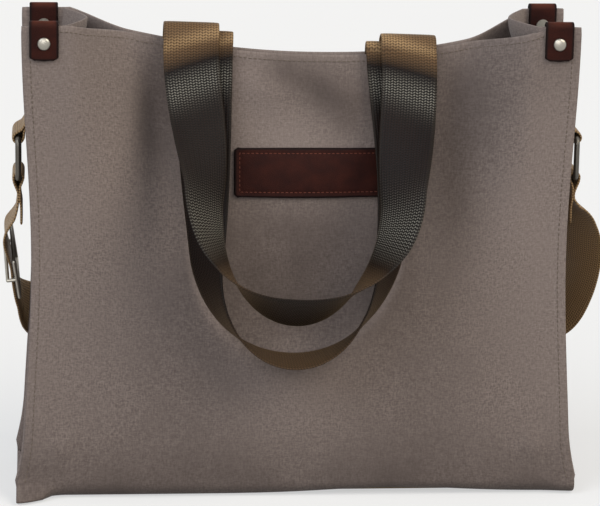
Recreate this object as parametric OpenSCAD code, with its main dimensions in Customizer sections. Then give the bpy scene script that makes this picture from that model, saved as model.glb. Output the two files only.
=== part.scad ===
// Open-top canvas carry bag: sewn panels, two webbing handles, leather corner tabs and a shoulder strap.
// Origin in the middle of the base on the floor. The front faces -Y, +X is right, +Z is up. Sizes in mm.

/* [Body] */
// Width across the top corners
body_w = 380; // [330:1:440]
// Width across the base
base_w = 380; // [330:1:440]
// Depth of the base, front to back
body_d = 100; // [80:1:130]
// Depth between the panels at the top corners
mouth_d = 80; // [60:1:100]
// Height of the top corners
corner_h = 332; // [290:1:380]
// Dip of the mouth between its corners
mouth_dip = 26; // [6:0.5:30]
// How far the sides draw in at mid height
waist = 6; // [0:0.5:12]
// Swell of the front and back past the base
swell = 3; // [0:0.5:10]
// Flare of the bottom corners
ear = 5; // [0:0.5:8]
// Radius of the fold along the bottom edges
base_r = 12; // [8:0.5:16]

/* [Canvas] */
// Thickness of the canvas
canvas_t = 1.6; // [1.2:0.1:2.2]
// Extra thickness of the turned hem at the mouth
hem_t = 1.2; // [0.8:0.1:2]
// Depth of the turned hem
hem_h = 25; // [15:1:35]
// Width of the side seams, outside the gussets
seam_w = 5; // [4:0.5:8]
// Width of the seam where the corner tabs pin the gusset flat
pinned_w = 28; // [27:0.5:32]
// Depth of the inward pleat at the top of a gusset
pleat = 15; // [6:0.5:24]
// Room between two sewn layers
layer_gap = 0.2; // [0.15:0.05:0.4]
// Space between the hems where the snap holds them
mouth_gap = 8; // [7:0.5:14]
// Thickness of the lining
lining_t = 0.6; // [0.4:0.1:1]
// Room between the lining and the canvas
lining_gap = 0.5; // [0.4:0.05:0.8]
// Thickness of the board in the base
board_t = 2; // [1.5:0.1:4]

/* [Leather] */
// Thickness of the leather
leather_t = 1.8; // [1.4:0.1:2.4]
// Width of a corner tab
tab_w = 18; // [14:0.5:20]
// Length of a corner tab's legs
tab_h = 23; // [20:0.5:32]
// Distance from a corner tab to the seam's edge
tab_inset = 5.5; // [3:0.5:6]
// Width of the patch
patch_w = 108; // [80:1:120]
// Height of the patch
patch_h = 32.5; // [25:0.5:45]
// Middle of the patch to the right of the bag's middle
patch_x = 10; // [-12:0.5:12]
// Height of the patch's middle
patch_z = 226; // [190:1:240]

/* [Fasteners] */
// Radius of a rivet's cap
rivet_r = 4.5; // [3.5:0.1:5.5]
// Height of a rivet's cap
rivet_h = 2; // [1.4:0.1:3]
// Radius of a rivet's post
post_r = 1.5; // [1:0.1:2]
// Depth of a rivet below the top edge
rivet_drop = 12; // [9:0.5:14]
// Radius of the snap
snap_r = 9; // [7:0.5:10]
// Depth of the snap below the mouth's edge
snap_drop = 14; // [11:0.5:16]

/* [Handles] */
// Width of the webbing
web_w = 38; // [30:1:42]
// Thickness of the webbing
web_t = 1.8; // [1.4:0.1:2.4]
// Half the distance between the back handle's legs
back_x = 75; // [70:1:80]
// Half the distance between the front handle's legs
front_x = 65; // [60:1:69]
// How far the back handle hangs below its fold
back_drop = 166; // [156:1:176]
// How far the front handle hangs below its fold
front_drop = 207; // [198:1:216]
// Half the width of the back handle's loop, above its round end
back_loop_w = 65; // [58:1:72]
// Half the width of the front handle's loop, above its round end
front_loop_w = 60; // [54:1:66]
// Height of the back handle's round end
back_loop_h = 74; // [60:1:84]
// Height of the front handle's round end
front_loop_h = 68; // [60:1:84]
// Turn of the back handle's webbing from its legs to the bottom of its loop
back_turn = 132; // [100:1:140]
// Turn of the front handle's webbing from its legs to the bottom of its loop
front_turn = 91; // [80:1:100]
// How far the back handle hangs in front of the panel
back_lead = 49; // [48:1:54]
// How far the handles' right legs bow out
leg_bow = 6; // [0:0.5:8]
// Length of the sewn tails below the folds
tail_len = 36; // [28:1:44]

/* [Strap] */
// Height of the strap's rings on the sides, at the upper bar
ring_z = 250; // [235:1:262]
// Distance between a ring's bars
ring_h = 28; // [24:1:32]
// Radius of the ring wire
wire_r = 2; // [1.5:0.1:2.4]
// How far the rings stand out from the side seams
ring_out = 6.5; // [6:0.5:12]
// Length of the ring tabs above the rings
tab_rise = 21; // [18:1:26]
// Length of the slider along the strap
slider_len = 36; // [28:1:40]
// Radius of the slider's wire
slider_r = 1.3; // [1:0.1:1.6]
// Room between parts that move on each other
play = 0.5; // [0.4:0.05:0.8]

/* [Hidden] */
$fn = 48;
pinch_y = mouth_gap / 2 + canvas_t + hem_t;
hem_v = 1 - hem_h / (corner_h - mouth_dip - base_r);
pleat_v = 0.74;
flat_u = 1 - (pinned_w + 1.5) / (body_w / 2);
fold_y = -pinch_y;
tail_y = mouth_gap / 2 - 0.3 - web_t / 2;
front_fold_r = pinch_y - tail_y;
back_fold_r = pinch_y + tail_y;
fold_out = back_x + web_w / 2;
fold_zl = top_z(-fold_out / (body_w / 2)) - 1;
fold_zr = top_z(fold_out / (body_w / 2)) - 1;
fold_z = (fold_zl + fold_zr) / 2;
fold_tilt = atan2(fold_zl - fold_zr, 2 * fold_out);
tab_x = body_w / 2 - tab_inset - tab_w / 2;
slot_y = edge_y(1) - canvas_t - layer_gap / 2;
slot_half = canvas_t + layer_gap / 2 + 0.4;
loop_r = wire_r + play;
ring_x = half_w((ring_z - base_r) / (corner_h - base_r)) + ring_out;
ring_w = web_w + 3;
ring_low = ring_z - ring_h;
strap_top = ring_low - loop_r - web_t - 10;

function clamp01(t) = max(0, min(1, t));
function ease(t) = let (c = clamp01(t)) c * c * (3 - 2 * c);
function mix(a, b, t) = a + (b - a) * t;
function unit(p) = p / norm(p);

// Half the bag's width at a share v of its height
function half_w(v) =
    mix(base_w / 2, body_w / 2, v) - waist * pow(sin(180 * clamp01(v)), 2)
    + ear * pow(max(0, 1 - v / 0.12), 2);

// Height of the top edge at u, from -1 at the left corner to 1 at the right one
function top_z(u) = let (w = abs(u - 0.12 * (1 - u * u)) / 0.87)
    corner_h - mouth_dip * (1 - pow(min(1, w), 2.2));

// Distance of a panel's outer face from the bag's middle plane at the side seams and in the middle
function edge_y(v) = mix(body_d / 2, mouth_d / 2, ease(v));
function mid_y(v) =
    mix(body_d / 2 + swell * sin(90 * clamp01(v / 0.2)), pinch_y, ease((v - 0.2) / 0.7));
function pinch(u, v) = ease((1 - min(1, abs(u) / flat_u)) / mix(0.7, 0.28, v * v));
function face_y(u, v) = mix(edge_y(v), mid_y(v), pinch(u, v));
function panel_z(u, v) = mix(base_r, top_z(u), v);
function share_z(z) = clamp01((z - base_r) / (corner_h - 0.6 * mouth_dip - base_r));

// Closed solid between an outer and an inner grid of points, rows upward and columns to the right as seen
// from outside
module sheet(a, b) {
    rows = len(a) - 1;
    cols = len(a[0]) - 1;
    n = cols + 1;
    m = (rows + 1) * n;
    points = concat([for (r = a) each r], [for (r = b) each r]);
    skin = [for (r = [0:rows - 1], c = [0:cols - 1]) let (i = r * n + c)
        each [[i, i + n, i + n + 1], [i, i + n + 1, i + 1],
            [m + i, m + i + n + 1, m + i + n], [m + i, m + i + 1, m + i + n + 1]]];
    ends = [for (c = [0:cols - 1]) let (i = c, k = rows * n + c)
        each [[i, i + 1, m + i + 1], [i, m + i + 1, m + i],
            [k + 1, k, m + k], [k + 1, m + k, m + k + 1]]];
    sides = [for (r = [0:rows - 1]) let (i = r * n, k = r * n + cols)
        each [[i + n, i, m + i], [i + n, m + i, m + i + n],
            [k, k + n, m + k + n], [k, m + k + n, m + k]]];
    polyhedron(points, concat(skin, ends, sides));
}

// Flat strip along frames of [point, width direction, face direction]
module strip(f, w, t) {
    n = len(f);
    points = [for (k = f) each [k[0] + k[1] * w / 2 + k[2] * t / 2, k[0] - k[1] * w / 2 + k[2] * t / 2,
        k[0] - k[1] * w / 2 - k[2] * t / 2, k[0] + k[1] * w / 2 - k[2] * t / 2]];
    skin = [for (i = [0:n - 2], k = [0:3]) let (a = 4 * i + k, b = 4 * i + (k + 1) % 4)
        each [[a, a + 4, b + 4], [a, b + 4, b]]];
    e = 4 * n - 4;
    polyhedron(points, concat(skin, [[0, 1, 2, 3], [e + 3, e + 2, e + 1, e]]));
}

panel_rows = concat([0, 0.04, 0.1, 0.2], [for (i = [1:11]) 0.2 + 0.06 * i], [hem_v - 0.003, hem_v, 0.96, 1]);
mid_cols = [for (i = [-8:8]) sign(i) * (1 - pow(1 - abs(i) / 8, 1.4)) * (flat_u - 0.012)];
panel_cols = concat([-1, -flat_u], mid_cols, [flat_u, 1]);

function panel_t(u, v) = canvas_t + (v >= hem_v && abs(u) < flat_u - 0.01 ? hem_t : 0);

module rivet_bores() {
    for (s = [-1, 1], f = [-1, 1])
        translate([s * tab_x, f * mouth_d / 2, corner_h - rivet_drop])
            rotate([90, 0, 0])
                cylinder(r = post_r + 0.2, h = 30, center = true);
}

module panel() {
    difference() {
        sheet(
            [for (v = panel_rows) [for (u = panel_cols) [u * half_w(v), -face_y(u, v), panel_z(u, v)]]],
            [for (v = panel_rows) [for (u = panel_cols)
                [u * half_w(v), panel_t(u, v) - face_y(u, v), panel_z(u, v)]]]);
        rivet_bores();
    }
}

module front_panel() {
    color("#8d8272") panel();
}

module back_panel() {
    color("#8d8272") mirror([0, 1, 0]) panel();
}

module base_profile(r) {
    flat = body_d / 2 - base_r;
    intersection() {
        union() {
            translate([-flat, base_r - r]) square([2 * flat, base_r + 1]);
            for (s = [-1, 1]) translate([s * flat, base_r]) circle(r);
        }
        translate([-body_d, -1]) square([2 * body_d, base_r + 1 - layer_gap]);
    }
}

module base_panel() {
    color("#82786a") rotate([90, 0, 90])
        translate([0, 0, -half_w(0)])
            linear_extrude(2 * half_w(0))
                difference() {
                    base_profile(base_r);
                    base_profile(base_r - canvas_t);
                }
}

// Gusset: the seam, then the wall with its inward pleat. Heights start on the base's inner face.
function base_in(y) = let (d = abs(y) - (body_d / 2 - base_r), r = base_r - canvas_t)
    layer_gap + (d <= 0 ? canvas_t : d < r ? base_r - sqrt(r * r - d * d) : base_r);
function pinned(v) = mix(seam_w, pinned_w, ease((v - pleat_v) / (1 - pleat_v)));
function pleat_in(v) = pleat * ease((v - pleat_v) / (1 - pleat_v));
function seam_y(v) = edge_y(v) - canvas_t - layer_gap;
gusset_rows = [0, 0.05, 0.11, 0.25, 0.4, 0.55, 0.68, 0.74, 0.79, 0.84, 0.89, 0.94, 1];
gusset_half = [[0, 0], [1, 0], [2, 0.3], [2, 0.6], [2, 0.85]];
gusset_cols = concat(gusset_half, [[2, 1]], [for (i = [4:-1:0]) gusset_half[i]]);

function gusset_pt(v, i, depth) = let (
    k = gusset_cols[i],
    side = i > (len(gusset_cols) - 1) / 2 ? -1 : 1,
    wall = seam_y(v) - canvas_t,
    y = k[0] == 2 ? wall * (1 - k[1]) : seam_y(v) - (depth > 0 ? 0 : canvas_t),
    z = mix(base_in(y), corner_h, v),
    w = clamp01((z - base_r) / (corner_h - base_r)),
    x = k[0] == 0 ? 0 : pinned(w) + depth + pleat_in(w) * (4 * k[1] - pow(k[1], 3)) / 3)
    [x - half_w(w), side * y, z];

module gusset() {
    difference() {
        sheet(
            [for (v = gusset_rows) [for (i = [0:len(gusset_cols) - 1]) gusset_pt(v, i, 0)]],
            [for (v = gusset_rows) [for (i = [0:len(gusset_cols) - 1]) gusset_pt(v, i, canvas_t)]]);
        rivet_bores();
    }
}

module left_gusset() {
    color("#8a7f6f") gusset();
}

module right_gusset() {
    color("#8a7f6f") mirror([1, 0, 0]) gusset();
}

lining_rows = concat([0.04, 0.1, 0.2], [for (i = [1:11]) 0.2 + 0.06 * i], hem_v - 0.012);

function lining_u(v) = 1 - (pinned(v) + canvas_t + 3) / half_w(v);
function lining_cols(v) = concat(-lining_u(v), mid_cols, lining_u(v));
function lining_row(v, depth) = [for (u = lining_cols(v))
    [u * half_w(v), depth - face_y(u, v), panel_z(u, v)]];

module panel_lining() {
    d = canvas_t + lining_gap;
    sheet([for (v = lining_rows) lining_row(v, d)], [for (v = lining_rows) lining_row(v, d + lining_t)]);
}

module front_lining() {
    color("#4a352a") panel_lining();
}

module back_lining() {
    color("#4a352a") mirror([0, 1, 0]) panel_lining();
}

side_rows = [0.05, 0.11, 0.25, 0.4, 0.55, 0.68, 0.74, 0.79, 0.84, 0.89, 0.94];
side_cols = [0.2, 0.3, 0.6, 0.85, 1];

function side_pt(v, s, side, depth) = let (
    y = (seam_y(v) - canvas_t) * (1 - s),
    z = mix(base_in(y), corner_h, v),
    w = clamp01((z - base_r) / (corner_h - base_r)))
    [pinned(w) + depth + pleat_in(w) * (4 * s - pow(s, 3)) / 3 - half_w(w), side * y, z];
function side_row(v, depth) = concat(
    [for (s = side_cols) side_pt(v, s, 1, depth)],
    [for (i = [len(side_cols) - 2:-1:0]) side_pt(v, side_cols[i], -1, depth)]);

module side_lining() {
    d = canvas_t + lining_gap;
    sheet([for (v = side_rows) side_row(v, d)], [for (v = side_rows) side_row(v, d + lining_t)]);
}

module left_lining() {
    color("#4a352a") side_lining();
}

module right_lining() {
    color("#4a352a") mirror([1, 0, 0]) side_lining();
}

module base_board() {
    color("#6b5a48") translate([0, 0, canvas_t + layer_gap + board_t / 2])
        cube([2 * (base_w / 2 - seam_w - canvas_t - 4), body_d - 2 * base_r, board_t], center = true);
}

module base_lining() {
    color("#4a352a") translate([0, 0, canvas_t + board_t + 2 * layer_gap + lining_t / 2])
        cube([2 * (base_w / 2 - seam_w - canvas_t - 4), body_d - 2 * base_r + 4, lining_t], center = true);
}

function patch_pt(i, k, depth) = let (
    x = patch_x + i * patch_w / 2,
    z = patch_z + k * patch_h / 2,
    v = share_z(z),
    u = x / half_w(v),
    w = (z - base_r) / (top_z(u) - base_r))
    [x, -face_y(u, w) - depth, z];

module leather_patch() {
    color("#4b2a20") sheet(
        [for (k = [-1, -0.5, 0, 0.5, 1]) [for (i = [-6:6]) patch_pt(i / 6, k, 0.3 + leather_t)]],
        [for (k = [-1, -0.5, 0, 0.5, 1]) [for (i = [-6:6]) patch_pt(i / 6, k, 0.3)]]);
}

module tab_profile(half) {
    top = corner_h - 0.8;
    translate([0, top]) circle(half);
    translate([-half, corner_h - tab_h]) square([2 * half, top - corner_h + tab_h]);
}

module corner_tab() {
    difference() {
        translate([tab_x - tab_w / 2, -slot_y, 0])
            rotate([90, 0, 90])
                linear_extrude(tab_w)
                    difference() {
                        tab_profile(slot_half + leather_t);
                        tab_profile(slot_half);
                        translate([-50, corner_h - tab_h - 1]) square([100, 1]);
                    }
        rivet_bores();
    }
}

module front_left_tab() {
    color("#4b2a20") mirror([1, 0, 0]) corner_tab();
}

module front_right_tab() {
    color("#4b2a20") corner_tab();
}

module back_left_tab() {
    color("#4b2a20") rotate([0, 0, 180]) corner_tab();
}

module back_right_tab() {
    color("#4b2a20") mirror([0, 1, 0]) corner_tab();
}

module at_rivets() {
    for (s = [-1, 1], f = [0, 1])
        mirror([0, f, 0])
            translate([s * tab_x, -slot_y, corner_h - rivet_drop])
                rotate([90, 0, 0])
                    children();
}

rivet_seat = slot_half + leather_t + 0.1;

module corner_rivets() {
    cap_r = (rivet_r * rivet_r + rivet_h * rivet_h) / (2 * rivet_h);
    color("#b9b6ae") at_rivets() {
        translate([0, 0, -rivet_seat - 0.8]) cylinder(r = post_r, h = 2 * rivet_seat + 0.8);
        translate([0, 0, rivet_seat]) intersection() {
            translate([0, 0, rivet_h - cap_r]) sphere(cap_r);
            cylinder(r = rivet_r, h = rivet_h + 1);
        }
    }
}

module rivet_backs() {
    color("#a9a69e") at_rivets()
        translate([0, 0, -rivet_seat - 1.6])
            difference() {
                cylinder(r = rivet_r, h = 1.6);
                translate([0, 0, 0.7]) cylinder(r = post_r + 0.1, h = 2);
            }
}

snap_z = top_z(0) - snap_drop;

module snap_stud() {
    color("#9a958c") translate([0, -mouth_gap / 2 + 0.2, snap_z]) rotate([-90, 0, 0]) {
        cylinder(r = snap_r, h = mouth_gap / 2 - 0.5);
        cylinder(r = snap_r / 3, h = mouth_gap / 2 + 1);
    }
}

module snap_socket() {
    color("#9a958c") translate([0, mouth_gap / 2 - 0.2, snap_z]) rotate([90, 0, 0])
        difference() {
            cylinder(r = snap_r, h = mouth_gap / 2 - 0.5);
            translate([0, 0, 0.9]) cylinder(r = snap_r / 3 + 0.3, h = mouth_gap);
        }
}

// Handles hang from folds over the mouth's front edge, in a frame whose X axis runs along the fold
module at_fold() {
    translate([0, fold_y, fold_z]) rotate([0, fold_tilt, 0]) children();
}

module folds(x, r) {
    at_fold() for (s = [-1, 1])
        translate([s * x + web_w / 2, 0, 0])
            rotate([0, -90, 0])
                linear_extrude(web_w)
                    difference() {
                        circle(r + web_t / 2);
                        circle(r - web_t / 2);
                        translate([-100, -50]) square([100.15, 100]);
                    }
}

module tails(x, y) {
    at_fold() for (s = [-1, 1])
        translate([s * x, y - fold_y, -tail_len / 2])
            cube([web_w, web_t, tail_len], center = true);
}

// Half loop as a leg and a quarter oval, f from 0 at the fold to 1 at the bottom
function loop_f(drop, a, b) = (drop - b) / (drop - b + (a + b) * PI / 4);
function loop_xz(f, x, drop, a, b) = let (k = loop_f(drop, a, b), t = clamp01(1 - f / k),
    q = 90 * clamp01((f - k) / (1 - k)))
    [f < k ? mix(a, x, ease(t)) : a * cos(q), f < k ? (drop - b) * (t - 1) : b - drop - b * sin(q)];

// Share of the turn at f, which eases into the bottom of the loop, and the turn of each handle's webbing
function turned(f) = 1 - (norm([1 - f, 0.2]) - 0.2) / (norm([1, 0.2]) - 0.2);
function turn_at(f, back) = back ? back_turn * pow(turned(f), 2) : front_turn * pow(turned(f), 1.4);

// Distance of each handle from the panel: the front one clears it by half its turned width
function loop_off(f, back) = back ? back_fold_r + back_lead * ease(f / 0.6)
    : front_fold_r + ease(f / 0.3) + web_w / 2 * sin(min(90, turn_at(f, false)));
function loop_pt(g, x, drop, a, b, back) = let (f = 1 - abs(g), p = loop_xz(f, x, drop, a, b))
    [g < 0 ? -p[0] : p[0] + leg_bow * sin(180 * clamp01(f / 0.75)),
        pinch_y - mid_y(share_z(fold_z + p[1])) - loop_off(f, back), p[1] - 0.15];
function loop_frames(x, drop, a, b, back) = let (n = 44,
    pts = [for (i = [0:n]) loop_pt(2 * i / n - 1, x, drop, a, b, back)])
    [for (i = [0:n]) let (
        t = i == 0 ? [0, 0, -1] : i == n ? [0, 0, 1] : unit(pts[i + 1] - pts[i - 1]),
        turn = turn_at(1 - abs(2 * i / n - 1), back),
        inner = unit([-t[2], 0, t[0]]),
        w = unit(cross(cos(turn) * [0, -1, 0] + (back ? 1 : -1) * sin(turn) * inner, t)))
        [pts[i], w, cross(t, w)]];

module front_handle() {
    color("#6f6350") at_fold()
        strip(loop_frames(front_x, front_drop, front_loop_w, front_loop_h, false), web_w, web_t);
}

module front_handle_folds() {
    color("#6f6350") folds(front_x, front_fold_r);
}

module front_handle_tails() {
    color("#6f6350") tails(front_x, -tail_y);
}

module back_handle() {
    color("#6f6350") at_fold()
        strip(loop_frames(back_x, back_drop, back_loop_w, back_loop_h, true), web_w, web_t);
}

module back_handle_folds() {
    color("#6f6350") folds(back_x, back_fold_r);
}

module back_handle_tails() {
    color("#6f6350") tails(back_x, tail_y);
}

tab_v = (ring_z + tab_rise - base_r) / (corner_h - base_r);
tab_wall = half_w(tab_v) - pinned(tab_v) - 0.45 * pleat_in(tab_v) + web_t + 0.5;

// Ring tab: webbing doubled round the ring's upper bar and sewn to the gusset above it
module ring_tab() {
    lean = atan2(ring_x - tab_wall, tab_rise);
    translate([-ring_x, web_w / 2, ring_z])
        rotate([90, 0, 0])
            linear_extrude(web_w)
                difference() {
                    union() {
                        circle(loop_r + web_t);
                        rotate(-lean) translate([-web_t, 0])
                            square([2 * web_t, norm([ring_x - tab_wall, tab_rise])]);
                    }
                    circle(loop_r);
                }
}

module left_ring_tab() {
    color("#6f6350") ring_tab();
}

module right_ring_tab() {
    color("#6f6350") mirror([1, 0, 0]) ring_tab();
}

module ring_corner() {
    rotate_extrude(angle = 90) translate([4, 0]) circle(wire_r);
}

module ring() {
    translate([-ring_x, 0, ring_z - ring_h / 2]) rotate([90, 0, 90]) {
        for (s = [-1, 1], t = [-1, 1])
            translate([s * (ring_w / 2 + wire_r - 4), t * (ring_h / 2 - 4), 0])
                rotate([0, 0, s > 0 ? (t > 0 ? 0 : 270) : (t > 0 ? 90 : 180)])
                    ring_corner();
        for (t = [-1, 1])
            translate([0, t * ring_h / 2, 0]) rotate([0, 90, 0])
                cylinder(r = wire_r, h = ring_w + 2 * wire_r - 8, center = true);
        for (s = [-1, 1])
            translate([s * (ring_w / 2 + wire_r), 0, 0]) rotate([90, 0, 0])
                cylinder(r = wire_r, h = ring_h - 8, center = true);
    }
}

module left_ring() {
    color("#b9b6ae") ring();
}

module right_ring() {
    color("#b9b6ae") mirror([1, 0, 0]) ring();
}

module strap_loop() {
    translate([-ring_x, web_w / 2, ring_low])
        rotate([90, 0, 0])
            linear_extrude(web_w)
                difference() {
                    union() {
                        circle(loop_r + web_t);
                        translate([-web_t, strap_top - ring_low]) square([2 * web_t, ring_low - strap_top]);
                    }
                    circle(loop_r);
                }
}

module left_strap_loop() {
    color("#6f6350") strap_loop();
}

module right_strap_loop() {
    color("#6f6350") mirror([1, 0, 0]) strap_loop();
}

// Route of the strap from the left ring, behind the back panel, to the right ring: points and width
// directions
slide_a = [-ring_x - 9, 8, 178];
slide_b = [-ring_x - 3, 34, 130];
back_run = body_d / 2 + swell + 19;
hang_x = max(ring_x - 2, half_w(0.3) + 5);
route = [
    [[-ring_x, 0, strap_top - 0.1], [0, 1, 0]],
    [[-ring_x - 2, 1, strap_top - 12], [0, 1, 0]],
    [slide_a, [0, 1, 0]],
    [mix(slide_a, slide_b, 0.5), [0, 1, 0]],
    [slide_b, [0, 1, 0]],
    [[-hang_x, 50, 115], [0, 0.65, 0.75]],
    [[14 - hang_x, back_run - 5, 104], [0.1, 0.25, 1]],
    [[-140, back_run, 92], [0, 0.1, 1]],
    [[-70, back_run + 1, 78], [0, 0, 1]],
    [[0, back_run + 2, 72], [0, 0, 1]],
    [[70, back_run + 1, 76], [0, 0, 1]],
    [[130, back_run, 84], [0, 0.1, 1]],
    [[ring_x - 20, back_run - 3, 94], [-0.1, 0.3, 1]],
    [[ring_x + 4, 50, 108], [-0.35, 0.7, 0.7]],
    [[ring_x + 13, 32, 134], [-0.5, 0.9, 0.3]],
    [[ring_x + 14, 16, 166], [-0.6, 1, 0]],
    [[ring_x + 9, 5, 190], [-0.4, 1, 0]],
    [[ring_x + 2, 1, strap_top - 5], [-0.1, 1, 0]],
    [[ring_x, 0, strap_top - 0.1], [0, 1, 0]]];

function spline(a, b, c, d, t) = 0.5 * (2 * b + (c - a) * t + (2 * a - 5 * b + 4 * c - d) * t * t
    + (3 * b - a - 3 * c + d) * t * t * t);
function route_at(j, q) = let (n = len(route) - 1, i = min(n - 1, floor(q)), t = q - i)
    spline(route[max(0, i - 1)][j], route[i][j], route[i + 1][j], route[min(n, i + 2)][j], t);
strap_frames = let (n = 4 * (len(route) - 1),
    p = [for (i = [0:n]) route_at(0, i / 4)])
    [for (i = [0:n]) let (
        t = i == 0 ? [0, 0, -1] : i == n ? [0, 0, 1] : unit(p[i + 1] - p[i - 1]),
        b = route_at(1, i / 4),
        w = unit(b - t * (b * t)))
        [p[i], w, cross(t, w)]];

module shoulder_strap() {
    color("#6f6350") strip(strap_frames, web_w, web_t);
}

// Slider: a wire frame on the strap's inner side, and a middle bar on posts that crosses its outer side
module strap_slider() {
    off = web_t / 2 + 2 * play + slider_r;
    cheek = web_w / 2 + play + slider_r;
    end = slider_len / 2 - slider_r;
    along = unit(slide_a - slide_b);
    across = unit([0, 1, 0] - along * along[1]);
    out = cross(along, across);
    mid = mix(slide_a, slide_b, 0.5);
    color("#a8a59d")
        multmatrix([for (i = [0:2]) [out[i], across[i], along[i], mid[i]]]) {
            for (s = [-1, 1]) {
                translate([-off, s * cheek, 0]) cylinder(r = slider_r, h = 2 * end, center = true);
                translate([-off, 0, s * end]) rotate([90, 0, 0])
                    cylinder(r = slider_r, h = 2 * cheek, center = true);
                translate([0, s * cheek, 0]) rotate([0, 90, 0])
                    cylinder(r = slider_r, h = 2 * off, center = true);
                for (k = [[-off, end], [-off, -end], [off, 0]])
                    translate([k[0], s * cheek, k[1]]) sphere(slider_r);
            }
            translate([off, 0, 0]) rotate([90, 0, 0]) cylinder(r = slider_r, h = 2 * cheek, center = true);
        }
}

front_panel();
back_panel();
base_panel();
left_gusset();
right_gusset();
front_lining();
back_lining();
left_lining();
right_lining();
base_board();
base_lining();
leather_patch();
front_left_tab();
front_right_tab();
back_left_tab();
back_right_tab();
corner_rivets();
rivet_backs();
snap_stud();
snap_socket();
front_handle();
front_handle_folds();
front_handle_tails();
back_handle();
back_handle_folds();
back_handle_tails();
left_ring_tab();
right_ring_tab();
left_ring();
right_ring();
left_strap_loop();
right_strap_loop();
shoulder_strap();
strap_slider();
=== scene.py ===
import bmesh
import bpy
import numpy as np
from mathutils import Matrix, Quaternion, Vector


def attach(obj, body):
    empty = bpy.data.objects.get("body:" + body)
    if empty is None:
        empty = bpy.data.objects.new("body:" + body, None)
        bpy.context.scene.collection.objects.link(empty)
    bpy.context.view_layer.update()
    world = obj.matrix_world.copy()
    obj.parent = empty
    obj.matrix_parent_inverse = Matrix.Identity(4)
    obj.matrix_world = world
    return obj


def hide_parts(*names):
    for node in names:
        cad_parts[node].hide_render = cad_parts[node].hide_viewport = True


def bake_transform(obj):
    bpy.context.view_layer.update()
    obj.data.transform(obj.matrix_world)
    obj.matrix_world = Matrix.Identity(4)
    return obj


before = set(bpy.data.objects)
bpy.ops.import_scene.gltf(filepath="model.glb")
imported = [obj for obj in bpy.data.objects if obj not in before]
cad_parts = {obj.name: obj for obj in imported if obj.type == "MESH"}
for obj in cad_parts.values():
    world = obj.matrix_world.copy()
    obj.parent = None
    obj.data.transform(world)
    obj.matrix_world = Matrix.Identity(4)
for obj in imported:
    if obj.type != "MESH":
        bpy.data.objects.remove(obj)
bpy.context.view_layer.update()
scene = bpy.context.scene
scene.view_settings.view_transform = "Standard"

# Camera: a long lens in front of the bag, a little to its left and above it,
# turned slightly so that the right-hand side of the picture sits lower.
image_width = 600
focal_pixels = 3129
look_at = Vector((0.0034, 0.0, 0.1637))
camera_distance = 2.2
camera_azimuth, camera_elevation, camera_roll = np.radians((-4.8, 14.0, 0.95))
toward_camera = Vector((np.sin(camera_azimuth) * np.cos(camera_elevation),
                        -np.cos(camera_azimuth) * np.cos(camera_elevation), np.sin(camera_elevation)))
camera = bpy.data.objects.new("camera", bpy.data.cameras.new("camera"))
scene.collection.objects.link(camera)
camera.data.sensor_fit = "HORIZONTAL"
camera.data.lens = camera.data.sensor_width * focal_pixels / image_width
camera.location = look_at + camera_distance * toward_camera
camera.rotation_mode = "QUATERNION"
camera.rotation_quaternion = ((-toward_camera).to_track_quat("-Z", "Y")
                              @ Quaternion((0.0, 0.0, 1.0), camera_roll))
scene.camera = camera


# Studio: a plain pale floor under a wide soft lamp high on the right, weaker ones on the left and in
# front and an even sky. The floor looks pale to the eye but throws back only a part of the light.
class Wire:
    """One socket in a node tree. Sums on it add Math nodes, and add() puts in any other node."""

    def __init__(self, tree, socket=None):
        self.tree, self.socket = tree, socket

    def add(self, kind, settings=None, inputs=None, out=0):
        """A node of that kind, its settings first, then the values or links of its sockets."""
        node = self.tree.nodes.new("ShaderNode" + kind)
        for name, value in (settings or {}).items():
            setattr(node, name, value)
        for key, value in (inputs or {}).items():
            if isinstance(value, Wire):
                self.tree.links.new(value.socket, node.inputs[key])
            else:
                node.inputs[key].default_value = value
        return Wire(self.tree, node.outputs[out] if node.outputs else None)

    def math(self, operation, first, second=0.0):
        """A Math node on two values, each a wire or a plain number."""
        return self.add("Math", {"operation": operation}, {0: first, 1: second})

    # Sums, differences and products with another wire or a plain number, either way round.
    def __add__(self, other):
        return self.math("ADD", self, other)

    def __sub__(self, other):
        return self.math("SUBTRACT", self, other)

    def __rsub__(self, other):
        return self.math("SUBTRACT", other, self)

    def __mul__(self, other):
        return self.math("MULTIPLY", self, other)

    __radd__, __rmul__ = __add__, __mul__

    def between(self, low, high, most=1.0):
        """0 where this wire is at low or less, rising evenly to most where it is at high or more."""
        return self.add("MapRange", {}, {"Value": self, "From Min": low, "From Max": high, "To Max": most})

    def blend(self, low, high):
        """The colour low where this wire is 0, and high where it is 1."""
        return self.add("Mix", {"data_type": "RGBA"}, {0: self, 6: low, 7: high}, out=2)


def paint(red, green, blue):
    """A colour as a screen shows it, from 0 to 255, as the linear colour that a shader takes."""
    share = np.array([red, green, blue]) / 255
    linear = np.where(share <= 0.04045, share / 12.92, ((share + 0.055) / 1.055) ** 2.4)
    return (*linear.tolist(), 1.0)


def seen_directly(wire):
    """1 for rays from the eye, from gloss and through glass, 0 for light that bounces on."""
    rays = [wire.add("LightPath", out=f"Is {kind} Ray") for kind in ("Camera", "Glossy", "Transmission")]
    return wire.math("MINIMUM", rays[0] + rays[1] + rays[2], 1.0)


def new_finish(name):
    """An empty node material and a wire to add its nodes to."""
    finish = bpy.data.materials.new(name)
    finish.use_nodes = True
    finish.node_tree.nodes.clear()
    return finish, Wire(finish.node_tree)


pale, sky_light = paint(241, 241, 241), (0.31, 0.315, 0.325, 1)
sky = bpy.data.worlds.new("sky")
sky.use_nodes = True
sky.node_tree.nodes.clear()
wire = Wire(sky.node_tree)
glow = wire.add("Background", {}, {"Color": seen_directly(wire).blend(sky_light, pale)})
wire.add("OutputWorld", {}, {"Surface": glow})
scene.world = sky

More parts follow.
